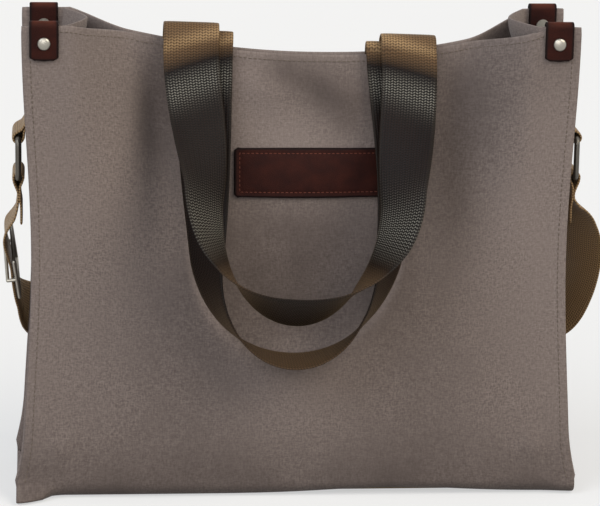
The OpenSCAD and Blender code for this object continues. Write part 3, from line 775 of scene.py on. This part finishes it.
def tab_path():
    """The folded strip's section as y and z about the slot: up one leg, half a turn, down the other,
    with the direction outward at each point."""
    rise = np.linspace(corner_h - tab_h, bend_z, leg_rows)
    bend = np.linspace(0, np.pi, 15)[1:-1]
    out = np.concatenate([np.tile([-1.0, 0.0], (leg_rows, 1)), np.stack([-np.cos(bend), np.sin(bend)], -1),
                          np.tile([1.0, 0.0], (leg_rows, 1))])
    return out, np.concatenate([rise, np.full(len(bend), bend_z), rise[::-1]])


def tab_face(offset, hand, side):
    """The strip's face offset from the slot's middle plane, the corners of its ends rounded off and its
    outer face crowned a little."""
    out, centre = tab_path()
    trim = round_off(tab_corner, centre - (corner_h - tab_h))
    across = np.linspace(-1, 1, tab_cols)
    crown = tab_crown * (1 - across ** 4) * (offset > slot_half)
    x = hand * tab_x + across * (tab_w / 2 - trim[:, None])
    y = side * (slot_y + out[:, :1] * (offset + crown))
    z = centre[:, None] + out[:, 1:] * offset + 0 * x
    return np.stack([x, y, z], -1)


# Each tab is cut from its own place on the hide, so that no two have the same grain.
tab_strip = 2 * tab_h + 9
for name, hand, side in (("front_left_tab", -1, -1), ("front_right_tab", 1, -1),
                         ("back_left_tab", -1, 1), ("back_right_tab", 1, 1)):
    shell = [tab_face(offset, hand, side) for offset in (slot_half + leather_t, slot_half)]
    rows, cols = shell[0].shape[:2]
    i, k = np.meshgrid(np.linspace(-1, 1, cols), np.linspace(-1, 1, rows))
    # The dark cut edge, less a painted highlight along the fold's crest.
    mark = edge_mark(i, k, tab_w, tab_strip) - fold_highlight * np.exp(-(k / fold_highlight_k) ** 2) * (1 - i ** 4)
    cloth = np.stack([i * tab_w / 2 + hide_x * hand, k * hide_half + hide_y * side, mark], -1)
    tab_piece = sewn_layer(name + "_leather", *shell, cloth, leather)
    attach(tab_piece, "bag")
    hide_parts(name)


def metal_finish(name, colour, dull):
    """Plated steel: fine brushing and a few worn, duller clouds."""
    finish, wire = new_finish(name)
    place = wire.add("TexCoord", out="Object")
    brush = noise_on(wire, place, (0.00025, 0.004, 0.0012))
    cloud = noise_on(wire, place, (0.006, 0.006, 0.006), 3.0)
    coat(wire, {"Base Color": (0.6 * cloud).blend(colour, dull), "Metallic": 1.0,
                "Roughness": 0.22 + 0.25 * cloud + 0.08 * brush, "Normal": bumps(wire, 0.15, 0.02, brush)})
    return finish


nickel = metal_finish("nickel", paint(172, 168, 158), paint(112, 108, 100))


def turned(profile, centres, axes, name, finish, sides=32):
    """Closed turned parts: a profile of radius and height, spun about each axis through each centre."""
    spin = np.linspace(0, 2 * np.pi, sides, endpoint=False)
    axes = unit(np.array(axes, float))
    first = unit(np.cross(axes, [0.0, 0.3, 1.0]))
    second = np.cross(axes, first)
    radius, height = np.array(profile, float).T
    ring = (np.cos(spin)[:, None] * first[:, None, None] + np.sin(spin)[:, None] * second[:, None, None])
    points = (np.array(centres, float)[:, None, None] + radius[:, None, None] * ring
              + height[:, None, None] * axes[:, None, None])
    at = np.arange(points[..., 0].size).reshape(points.shape[:3])
    near = np.roll(at, -1, axis=2)
    walls = np.stack([at[:, :-1], near[:, :-1], near[:, 1:], at[:, 1:]], -1).reshape(-1, 4)
    ends = np.concatenate([at[:, 0, ::-1], at[:, -1]])
    places = np.zeros((at.size, 2))
    return make_piece(name, points.reshape(-1, 3), walls.tolist() + ends.tolist(), places, finish)


rivet_gap, pole_r, edge_in, edge_up, dome_in, dome_up = 0.1, 0.02, 0.3, 0.35, 0.25, 0.6
rivet_seat = slot_half + leather_t + rivet_gap
cap_turn = np.linspace(0, np.pi / 2, 9)[:-1]
cap_dome = np.stack([(rivet_r - dome_in) * np.cos(cap_turn),
                     dome_up + (rivet_h - dome_up) * np.sin(cap_turn)], -1)
cap_profile = np.concatenate([[[pole_r, 0.0], [rivet_r - edge_in, 0.0], [rivet_r, edge_up]], cap_dome,
                              [[pole_r, rivet_h]]])
rivet_sides = [(hand, side) for side in (-1, 1) for hand in (-1, 1)]
rivet_places = [(hand * tab_x, side * (slot_y + rivet_seat), corner_h - rivet_drop)
                for hand, side in rivet_sides]
rivet_caps = turned(cap_profile, rivet_places, [(0, side, 0) for hand, side in rivet_sides],
                    "rivet_caps", nickel)
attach(rivet_caps, "bag")
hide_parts("corner_rivets")
dress("rivet_backs", nickel)

# Magnetic snap: a nickel stud and socket, each a pressed disc set into the middle of one hem and held
# by prongs behind it. Together they keep the mouth closed in the middle.
dress("snap_stud", nickel)
dress("snap_socket", nickel)

# Carrying handles: olive-brown nylon webbing. Each is one strip, sewn inside the mouth at both ends,
# folded over the front edge and hanging down the front in a loop that turns on edge at the bottom.
web_w, web_t, web_cols, tail_len = 38, 1.8, 13, 36
front_x, front_drop, front_loop_w, front_loop_h, front_turn = 65, 207, 60, 68, 91
back_x, back_drop, back_loop_w, back_loop_h, back_turn = 75, 166, 65, 74, 132
back_power, front_power, turn_ease = 2, 1.4, 0.2
back_lead, lead_end, clear_end, left_slack, loop_sink = 49, 0.6, 0.3, 3.5, 0.15
leg_bow, bow_end, front_bow, front_bow_end = 6, 0.75, (1, 4), 0.7
rib_pitch, thread_pitch, zigzag_w, zigzag_h = 1.9, 2.0, 2.0, 0.45
selvedge_in, selvedge_out, selvedge_thin, rim_in = 16.8, 18.6, 0.25, 0.6
light_slant, fold_fade, tail_gap, fold_sink = 5, 10, 0.3, 1
tail_y = mouth_gap / 2 - tail_gap - web_t / 2
front_fold_r, back_fold_r = pinch_y - tail_y, pinch_y + tail_y
fold_out = (back_x + web_w / 2) / (body_w / 2)
fold_ends = top_z(np.array([-fold_out, fold_out])) - fold_sink
fold_y, fold_z = -pinch_y, fold_ends.mean()
fold_tilt = np.arctan2(fold_ends[0] - fold_ends[1], 2 * (back_x + web_w / 2))


def webbing_finish():
    """Nylon webbing: ribs across the strip, a sine along it that zigzags in narrow columns, threads that
    shine along their length, and selvedges a little darker than the middle. Where the attribute's third
    number rises to 1 the strip is painted golden brown as if lit, above 1 it takes a pale painted highlight,
    and below 0 a painted grey glint."""
    finish, wire = new_finish("olive_webbing")
    place, across, along, painted_light = cloth_place(wire, "XYZ")
    zigzag = wire.math("PINGPONG", across, zigzag_w)
    rib = wire.math("SINE", (along + zigzag_h * zigzag) * (2 * np.pi / rib_pitch))
    thread = wire.math("SINE", across * (2 * np.pi / thread_pitch))
    height = 0.6 * rib + 0.4 * thread
    tone = noise_on(wire, place, (1.3, 16, 1))
    cloud = noise_on(wire, place, (24, 60, 1))
    # Darker in the hollows between ribs and threads: painted shade, along with the threads' own tone and
    # clouds.
    shade = 0.5 * tone + 0.5 * cloud + 0.5 * height
    colour = shade.between(0.15, 0.95).blend(paint(3, 2, 2), paint(26, 14, 11))
    # Below 0: a painted grey glint on the threads.
    painted_glint = wire.math("MAXIMUM", -1.0 * painted_light, 0.0)
    colour = (painted_glint * (0.1 + 1.4 * height)).blend(colour, paint(120, 118, 110))
    selvedge = wire.math("ABSOLUTE", across).between(selvedge_in, selvedge_out, 0.5)
    colour = selvedge.blend(colour, paint(28, 22, 17))
    # From 0 to 1: painted golden light.
    painted_lit = wire.math("MAXIMUM", painted_light, 0.0)
    colour = (painted_lit * (0.72 + 0.4 * height)).blend(colour, paint(106, 82, 58))
    # Above 1: a pale painted highlight.
    painted_highlight = wire.math("MAXIMUM", painted_light - 1.0, 0.0)
    colour = (painted_highlight * (0.55 + 0.8 * height)).blend(colour, paint(196, 164, 120))
    coat(wire, {"Base Color": colour, "Roughness": 0.42 + 0.12 * tone, "Specular IOR Level": 0.12,
                "Normal": bumps(wire, 0.7, 0.2, height), "Sheen Weight": 0.06, "Sheen Roughness": 0.4,
                "Sheen Tint": paint(255, 214, 160)})
    return finish


webbing = webbing_finish()


def web_strip(name, path, width_way, painted_light):
    """A flat strip of webbing along a path, its width held along width_way squared up to the path, thinner
    at its selvedges by a high power of the way across. The last argument is how much painted light it has,
    all over or by place."""
    ahead = unit(np.gradient(path, axis=0))
    wide = unit(width_way - ahead * (width_way * ahead).sum(1, keepdims=True))
    face = np.cross(ahead, wide)
    share = np.linspace(-1, 1, web_cols)
    thin = 1 - selvedge_thin * share ** 8
    middle = path[:, None] + wide[:, None] * (share * (web_w / 2 - rim_in))[:, None]
    lift = face[:, None] * (thin * web_t / 2)[:, None]
    flat = np.meshgrid(share * web_w / 2, run_length(path))
    cloth = np.stack([*flat, painted_light + np.zeros(middle.shape[:2])], -1)
    return sewn_layer(name, middle + lift, middle - lift, cloth, webbing)


def turn_share(down):
    """Share of the turn at a share down from the fold to the bottom of the loop: a hyperbola, which eases
    into the bottom."""
    return 1 - (np.hypot(1 - down, turn_ease) - turn_ease) / (np.hypot(1, turn_ease) - turn_ease)


def handle_loop(x, drop, oval_w, oval_h, full_turn, turn_power, radius, back):
    """A handle from fold to fold in the fold's own frame, and its width directions: a leg that eases
    inward, half an oval of half sizes oval_w and oval_h, and the other leg. The strip turns on edge on
    its way down, and stands off the front by the fold's radius and what its turn needs."""
    run = np.linspace(-1, 1, 161)
    down = 1 - np.abs(run)
    leg = (drop - oval_h) / (drop - oval_h + (oval_w + oval_h) * np.pi / 4)
    left, round_oval = np.clip(1 - down / leg, 0, 1), np.pi / 2 * np.clip((down - leg) / (1 - leg), 0, 1)
    px = np.where(down < leg, mix(oval_w, x, ease(left)), oval_w * np.cos(round_oval))
    px += np.sin(np.pi * np.clip(down / bow_end, 0, 1)) * np.where(run > 0, leg_bow, 0)
    if not back:
        bow = np.where(run > 0, front_bow[1], front_bow[0])
        px += np.sin(np.pi * np.clip(down / front_bow_end, 0, 1)) ** 2 * bow
    pz = np.where(down < leg, (drop - oval_h) * (left - 1), oval_h - drop - oval_h * np.sin(round_oval))
    turn = np.radians(full_turn) * turn_share(down) ** turn_power
    clear = web_w / 2 * np.sin(np.minimum(turn, np.pi / 2))
    off = radius + (back_lead * ease(down / lead_end) if back else ease(down / clear_end) + clear)
    py = pinch_y - mid_y(share_z(fold_z + pz)) - off
    loop = np.stack([np.sign(run) * px, py, pz - loop_sink], -1)
    ahead = unit(np.gradient(loop, axis=0))
    inner = unit(np.stack([-ahead[:, 2], 0 * run, ahead[:, 0]], -1))
    face = (np.cos(turn)[:, None] * np.array([0, -1, 0])
            + (1 if back else -1) * np.sin(turn)[:, None] * inner)
    return loop, unit(np.cross(face, ahead))


def handle_path(loop, loop_wide, x, radius):
    """A whole handle and its width directions: a tail inside the mouth, half a turn over the edge, the
    loop, and the same again. The left turn has a little slack and stands higher."""
    bend = np.linspace(0, np.pi, 19)[1:-1]
    rise = np.linspace(-tail_len, 0, 13)
    one_end = np.concatenate([np.stack([-x + 0 * rise, radius + 0 * rise, rise], -1),
                              np.stack([-x + 0 * bend, radius * np.cos(bend), radius * np.sin(bend)], -1)])
    way = np.tile([1.0, 0.0, 0.0], (len(one_end), 1))
    slack = np.where(one_end[:, 2:] > 0, [1, 1, 1 + left_slack / radius], [1, 1, 1])
    path = np.concatenate([one_end * slack, loop, one_end[::-1] * [-1, 1, 1]])
    return path, np.concatenate([way, loop_wide, -way])


def handle_painted_light(path, radius, back):
    """How much painted light a handle has: painted golden from its fold up, with bell curves of the height
    added for a painted highlight on the crest and taken off for a painted grey glint below it. Those slant
    across the strip. The back handle has a painted lit zone and a painted glint lower down, and the front one
    is painted lit at its bottom."""
    share = np.linspace(-1, 1, web_cols)
    z = path[:, 2:] + 0 * share
    slant = z - light_slant * share
    painted_light = np.exp(-(np.maximum(0, -slant) / fold_fade) ** 2)
    # Each zone: how much, the height that it goes by, its middle and its reach in mm.
    zones = [(0.4, slant, radius - 6, 4), (-0.85, slant, -27, 10)]
    zones += [(0.4, z, -146, 11), (-0.8, z, -112, 18)] if back else [(0.45, z, -front_drop, 20)]
    for amount, height, middle, reach in zones:
        painted_light = painted_light + amount * np.exp(-((height - middle) / reach) ** 2)
    return painted_light


def from_fold(points, place=True):
    """Points of the fold's frame in the bag's frame, turned by the fold's tilt and moved to its place, or
    directions, which are only turned."""
    c, s = np.cos(fold_tilt), np.sin(fold_tilt)
    turned_points = points @ np.array([[c, 0, -s], [0, 1, 0], [s, 0, c]])
    return turned_points + np.array([0, fold_y, fold_z]) * place


for name, sizes, radius, back in (
        ("back_handle", (back_x, back_drop, back_loop_w, back_loop_h, back_turn, back_power),
         back_fold_r, True),
        ("front_handle", (front_x, front_drop, front_loop_w, front_loop_h, front_turn, front_power),
         front_fold_r, False)):
    path, way = handle_path(*handle_loop(*sizes, radius, back), sizes[0], radius)
    strip = web_strip(name + "_webbing", from_fold(path), from_fold(way, False),
                      handle_painted_light(path, radius, back))
    (fold_y + radius - 0.5) * MM
    fold_z * MM
    (fold_y - radius + 0.5) * MM
    fold_z * MM
    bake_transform(strip)
    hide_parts(name, name + "_folds", name + "_tails")

# Ring tabs and rings: a short piece of the handles' webbing, doubled and sewn to each gusset below the
# mouth, holds a ring of round nickel-plated wire bent to a flat frame.
# The last number is the painted golden light and pale painted highlight that the strap and ring tabs take.
ring_z, ring_h, wire_r, ring_out, ring_spare, play, strap_painted_light = 250, 28, 2.0, 6.5, 3, 0.5, 1.5
loop_r = wire_r + play
ring_x = half_w(side_share(ring_z)) + ring_out
ring_w, ring_low = web_w + ring_spare, ring_z - ring_h
bar_wrap, web_layer = loop_r + web_t / 2, web_t / 2 + 0.05
ring_tab_rise, ring_tab_split, ring_tab_pleat, ring_tab_off = 21, 12.0, 0.45, 0.5
ring_tab_open, ring_tab_open_over = 7, 6
ring_tab_v = side_share(ring_z + ring_tab_rise)
ring_tab_in = seam_margin(ring_tab_v) + ring_tab_pleat * pleat * gather(ring_tab_v)
ring_tab_wall = half_w(ring_tab_v) - ring_tab_in + web_t + ring_tab_off
ring_tab_lean = np.arctan2(ring_x - ring_tab_wall, ring_tab_rise)
ring_tab_long = np.hypot(ring_x - ring_tab_wall, ring_tab_rise)


def ring_tab_places(section, hand):
    """Points given across and along a ring tab, from the ring's top bar, in the bag's frame: turned by the
    tab's lean and moved to the bar."""
    c, s = np.cos(ring_tab_lean), np.sin(ring_tab_lean)
    in_x, up = section[:, 0] * c + section[:, 1] * s, section[:, 1] * c - section[:, 0] * s
    return np.stack([hand * (ring_x - in_x), 0 * in_x, ring_z + up], -1)


def tube(name, path, radius, finish, sides=14):
    """Round wire: a circle of that radius carried along a closed path, square to it."""
    ahead = unit(np.roll(path, -1, axis=0) - np.roll(path, 1, axis=0))
    side = unit(np.cross(ahead, path - path.mean(0)))
    other = np.cross(ahead, side)
    spin = np.linspace(0, 2 * np.pi, sides, endpoint=False)[None, :, None]
    points = path[:, None] + radius * (np.cos(spin) * side[:, None] + np.sin(spin) * other[:, None])
    at = np.arange(points[..., 0].size).reshape(points.shape[:2])
    near, on = np.roll(at, -1, axis=1), np.roll(at, -1, axis=0)
    faces = np.stack([at, near, np.roll(near, -1, axis=0), on], -1).reshape(-1, 4).tolist()
    return make_piece(name, points.reshape(-1, 3), faces, np.zeros((at.size, 2)), finish)


def rounded_frame(half_y, half_z, corner=4.0, bend=8):
    """A rectangle with round corners in y and z, as a closed line of points: four quarter circles."""
    angle = np.linspace(0, np.pi / 2, bend)
    arcs = [np.stack([cy * (half_y - corner) + corner * np.cos(angle + a0),
                      cz * (half_z - corner) + corner * np.sin(angle + a0)], -1)
            for cy, cz, a0 in ((1, 1, 0), (-1, 1, np.pi / 2), (-1, -1, np.pi), (1, -1, 1.5 * np.pi))]
    return np.concatenate(arcs)


# A darkened copy of the nickel for the rings: painted shade, as they sit in the gussets' shade.
shaded_nickel = metal_finish("shaded_nickel", paint(104, 100, 94), paint(66, 63, 58))

for name, hand in (("left_ring", -1), ("right_ring", 1)):
    line = rounded_frame(ring_w / 2 + wire_r, ring_h / 2)
    path = np.stack([np.full(len(line), hand * ring_x), line[:, 0], ring_z - ring_h / 2 + line[:, 1]], -1)
    ring_wire = tube(name + "_wire", path, wire_r, shaded_nickel)
    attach(ring_wire, name)
    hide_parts(name)
    heights = np.linspace(ring_tab_split, 0.8, 12)
    spread = mix(web_layer, bar_wrap, ease((ring_tab_open - heights) / ring_tab_open_over))
    down = np.stack([-spread, heights], -1)
    bend = np.linspace(np.pi, 2 * np.pi, 17)
    round_bar = bar_wrap * np.stack([np.cos(bend), np.sin(bend)], -1)
    loop = np.concatenate([down, round_bar, down[::-1] * [-1, 1]])
    sewn = np.stack([np.full(9, -web_layer), np.linspace(ring_tab_long, ring_tab_split, 9)], -1)
    turns_at = np.array([[0, ring_tab_long - 1], [0, ring_tab_split], [0, 4.0]])
    top, split, low = ring_tab_places(turns_at, hand) * MM
    for part, section in (("tab_loop", loop), ("tab_inner", sewn), ("tab_outer", sewn * [-1, 1])):
        path = ring_tab_places(section, hand)
        # The ring tabs take the strap's painted golden light and highlight.
        piece = web_strip(f"{name}_{part}", path, np.tile([0.0, hand, 0.0], (len(path), 1)), strap_painted_light)
        if part == "tab_loop":
            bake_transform(piece)
        else:
            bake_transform(piece)
        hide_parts(name + "_tab")

# Shoulder strap: one long strip of the same webbing, folded round a ring and sewn back on itself at
# each end, hanging down the left side, across behind the bag and up the right side.
strap_neck, strap_lap, lap_ease, bar_gap, join_up, behind = 10, 18, 8, 0.6, 1.5, 19
strap_top = ring_low - loop_r - web_t - strap_neck
slide_a, slide_b = np.array([-ring_x - 9, 8, 178.0]), np.array([-ring_x - 3, 34, 130.0])
back_run = body_d / 2 + swell + behind
hang_x = max(ring_x - 2, half_w(0.3) + 5)
# The stops on the strap's way, in mm, and then the direction of its width at each of them.
route = np.array([
    [-ring_x, 0, strap_top - 0.1], [-ring_x - 2, 1, strap_top - 12],
    slide_a, (slide_a + slide_b) / 2, slide_b,
    [-hang_x, 50, 115], [14 - hang_x, back_run - 5, 104], [-140, back_run, 92], [-70, back_run + 1, 78],
    [0, back_run + 2, 72], [70, back_run + 1, 76], [130, back_run, 84], [ring_x - 20, back_run - 3, 94],
    [ring_x + 4, 50, 108], [ring_x + 13, 32, 134], [ring_x + 14, 16, 166], [ring_x + 9, 5, 190],
    [ring_x + 2, 1, strap_top - 5], [ring_x, 0, strap_top - 0.1]])
route_way = np.array([
    [0, 1, 0], [0, 1, 0], [0, 1, 0], [0, 1, 0], [0, 1, 0], [0, 0.65, 0.75], [0.1, 0.25, 1], [0, 0.1, 1],
    [0, 0, 1], [0, 0, 1], [0, 0, 1], [0, 0.1, 1], [-0.1, 0.3, 1], [-0.35, 0.7, 0.7], [-0.5, 0.9, 0.3],
    [-0.6, 1, 0], [-0.4, 1, 0], [-0.1, 1, 0], [0, 1, 0]], float)


def smooth_run(stops, steps=16):
    """A smooth line through the stops: between each two, the cubic that leaves and arrives along the
    line joining their neighbours."""
    q = np.linspace(0, len(stops) - 1, (len(stops) - 1) * steps + 1)
    i = np.minimum(len(stops) - 2, q.astype(int))
    t = (q - i)[:, None]
    p0, p1, p2, p3 = (stops[np.clip(i + k, 0, len(stops) - 1)] for k in (-1, 0, 1, 2))
    return 0.5 * (2 * p1 + (p2 - p0) * t + (2 * p0 - 5 * p1 + 4 * p2 - p3) * t ** 2
                  + (3 * p1 - p0 - 3 * p2 + p3) * t ** 3)


def strap_end(hand):
    """The strap's end: its sewn-back layer up to the ring, half a turn over the bar, and down to the strap.
    Both layers ease out from the strap to the turn's width."""
    bend = np.linspace(0, np.pi, 19)
    rise = np.linspace(0, 1, 14)
    inner_z = mix(strap_top - strap_lap, ring_low - bar_gap, rise)
    inner_x = mix(2 * web_layer, web_layer, ease((inner_z - strap_top + lap_ease) / lap_ease))
    inner_x = mix(inner_x, bar_wrap, ease((inner_z - ring_low + lap_ease) / lap_ease))
    outer_z = mix(ring_low - bar_gap, strap_top + join_up, rise)
    outer_x = mix(0, bar_wrap, ease((outer_z - strap_top - join_up) / (ring_low - strap_top - 2)))
    x = np.concatenate([inner_x, bar_wrap * np.cos(bend), -outer_x])
    z = np.concatenate([inner_z, ring_low + bar_wrap * np.sin(bend), outer_z])
    return np.stack([-hand * x + hand * ring_x, 0 * x, z], -1)


run, run_way = smooth_run(route), smooth_run(route_way)
left_end, right_end = strap_end(-1), strap_end(1)[::-1]
way_y = np.array([0.0, 1.0, 0.0])
strap_path = np.concatenate([left_end, run[1:-1], right_end])
# The strap takes painted golden light and a pale painted highlight all over.
strap = web_strip("shoulder_strap_webbing", strap_path,
                  np.concatenate([np.tile(way_y, (len(left_end), 1)), run_way[1:-1],
                                  np.tile(way_y, (len(right_end), 1))]), strap_painted_light)
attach(strap, "strap")
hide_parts("shoulder_strap", "left_strap_loop", "right_strap_loop")

# Slider: a nickel-plated wire frame on the strap's left leg, with a middle bar. The strap is threaded
# through it, which sets the strap's length.
dress("strap_slider", nickel)
